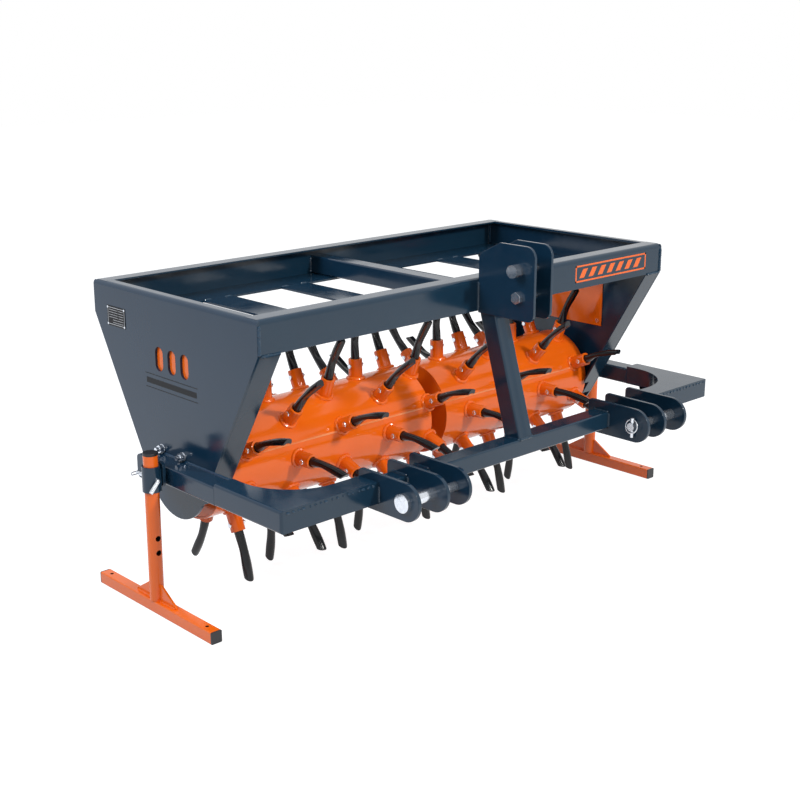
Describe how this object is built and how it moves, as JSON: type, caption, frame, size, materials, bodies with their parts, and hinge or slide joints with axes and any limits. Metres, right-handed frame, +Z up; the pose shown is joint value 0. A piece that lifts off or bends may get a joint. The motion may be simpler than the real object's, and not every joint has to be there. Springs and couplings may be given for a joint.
{
  "type": "core aerator",
  "caption": "Tractor-mounted core aerator: a weight tray on end plates, spinning drums with hollow-spoon tines, a three-point hitch and parking stands.",
  "frame": {"origin": "on the ground, under the middle of the machine's box", "axes": "+X along the machine's width, -Y towards the tractor, +Z up"},
  "size_m": [1.6936, 0.932, 0.843],
  "materials": {
    "navy_paint": "gloss powder coat",
    "orange_paint": "gloss powder coat",
    "black_tine": "gloss black paint",
    "black_plastic": "satin",
    "data_plate_black": "printed, satin",
    "zinc": "bright zinc plating",
    "steel": "turned",
    "bronze": "turned"
  },
  "bodies": {
    "frame": {"end_plate_left": "navy_paint", "end_plate_right": "navy_paint", "edge_strips": "navy_paint", "front_beam": "navy_paint", "rear_beam": "navy_paint", "floor_rails": "navy_paint", "floor_straps": "navy_paint", "floor_ends": "navy_paint", "cross_tube": "navy_paint", "backing_panels": "orange_paint", "panel_screws": "zinc", "data_plate": "data_plate_black", "plate_rivets": "zinc", "link_plate_left": "navy_paint", "link_plate_right": "navy_paint", "mast_strut": "navy_paint", "mast_bolt": "zinc", "lower_beam": "navy_paint", "ears_left": "navy_paint", "ears_right": "navy_paint", "arm_left": "navy_paint", "arm_right": "navy_paint", "arm_tube_left": "navy_paint", "arm_tube_right": "navy_paint", "bearing_left": "navy_paint", "bearing_right": "navy_paint", "bearing_bolts": "zinc", "bearing_nuts": "zinc", "stand_brackets": "navy_paint", "stand_sleeves": "navy_paint", "leg_left": "orange_paint", "leg_right": "orange_paint", "leg_caps": "black_plastic", "foot_left": "orange_paint", "foot_right": "orange_paint", "foot_gussets": "orange_paint", "foot_caps": "black_plastic"},
    "left_drum": {"axle": "steel", "drum_left": "orange_paint", "drum_ends_left": "orange_paint", "sockets_left": "orange_paint", "tines_left": "black_tine", "tine_bolts_left": "zinc"},
    "right_drum": {"drum_right": "orange_paint", "drum_ends_right": "orange_paint", "bushes_right": "bronze", "sockets_right": "orange_paint", "tines_right": "black_tine", "tine_bolts_right": "zinc"},
    "top_pin": {"top_link_pin": "zinc"},
    "hitch_pin_left": {"lower_pin_left": "zinc", "lynch_pin_left": "zinc"},
    "ring_left": {"lynch_ring_left": "zinc"},
    "park_pin_left": {"stand_pin_left": "zinc"},
    "park_clip_left": {"stand_clip_left": "zinc"},
    "hitch_pin_right": {"lower_pin_right": "zinc", "lynch_pin_right": "zinc"},
    "ring_right": {"lynch_ring_right": "zinc"},
    "park_pin_right": {"stand_pin_right": "zinc"},
    "park_clip_right": {"stand_clip_right": "zinc"}
  },
  "joints": [
    {"name": "left_drum_spin", "type": "hinge", "parent": "frame", "child": "left_drum", "pos_m": [-0.33, 0.144, 0.315], "axis": [1, 0, 0], "continuous": true},
    {"name": "right_drum_spin", "type": "hinge", "parent": "frame", "child": "right_drum", "pos_m": [0.38, 0.144, 0.315], "axis": [1, 0, 0], "continuous": true},
    {"name": "top_link_pin_turn", "type": "hinge", "parent": "frame", "child": "top_pin", "pos_m": [0, -0.328, 0.783], "axis": [1, 0, 0], "continuous": true},
    {"name": "hitch_pin_turn_left", "type": "hinge", "parent": "frame", "child": "hitch_pin_left", "pos_m": [-0.42, -0.421, 0.336], "axis": [1, 0, 0], "continuous": true},
    {"name": "ring_flip_left", "type": "hinge", "parent": "hitch_pin_left", "child": "ring_left", "pos_m": [-0.3235, -0.421, 0.354], "axis": [0, -1, 0], "range_deg": [0, 150]},
    {"name": "park_pin_turn_left", "type": "hinge", "parent": "frame", "child": "park_pin_left", "pos_m": [-0.821, 0.1, 0.336], "axis": [0, 1, 0], "range_deg": [-100, 100]},
    {"name": "park_clip_pull_left", "type": "slide", "parent": "park_pin_left", "child": "park_clip_left", "axis": [-1, 0, 0], "range_m": [0, 0.03]},
    {"name": "hitch_pin_turn_right", "type": "hinge", "parent": "frame", "child": "hitch_pin_right", "pos_m": [0.42, -0.421, 0.336], "axis": [1, 0, 0], "continuous": true},
    {"name": "ring_flip_right", "type": "hinge", "parent": "hitch_pin_right", "child": "ring_right", "pos_m": [0.3235, -0.421, 0.354], "axis": [0, 1, 0], "range_deg": [0, 150]},
    {"name": "park_pin_turn_right", "type": "hinge", "parent": "frame", "child": "park_pin_right", "pos_m": [0.821, 0.1, 0.336], "axis": [0, 1, 0], "range_deg": [-100, 100]},
    {"name": "park_clip_pull_right", "type": "slide", "parent": "park_pin_right", "child": "park_clip_right", "axis": [1, 0, 0], "range_m": [0, 0.03]}
  ]
}
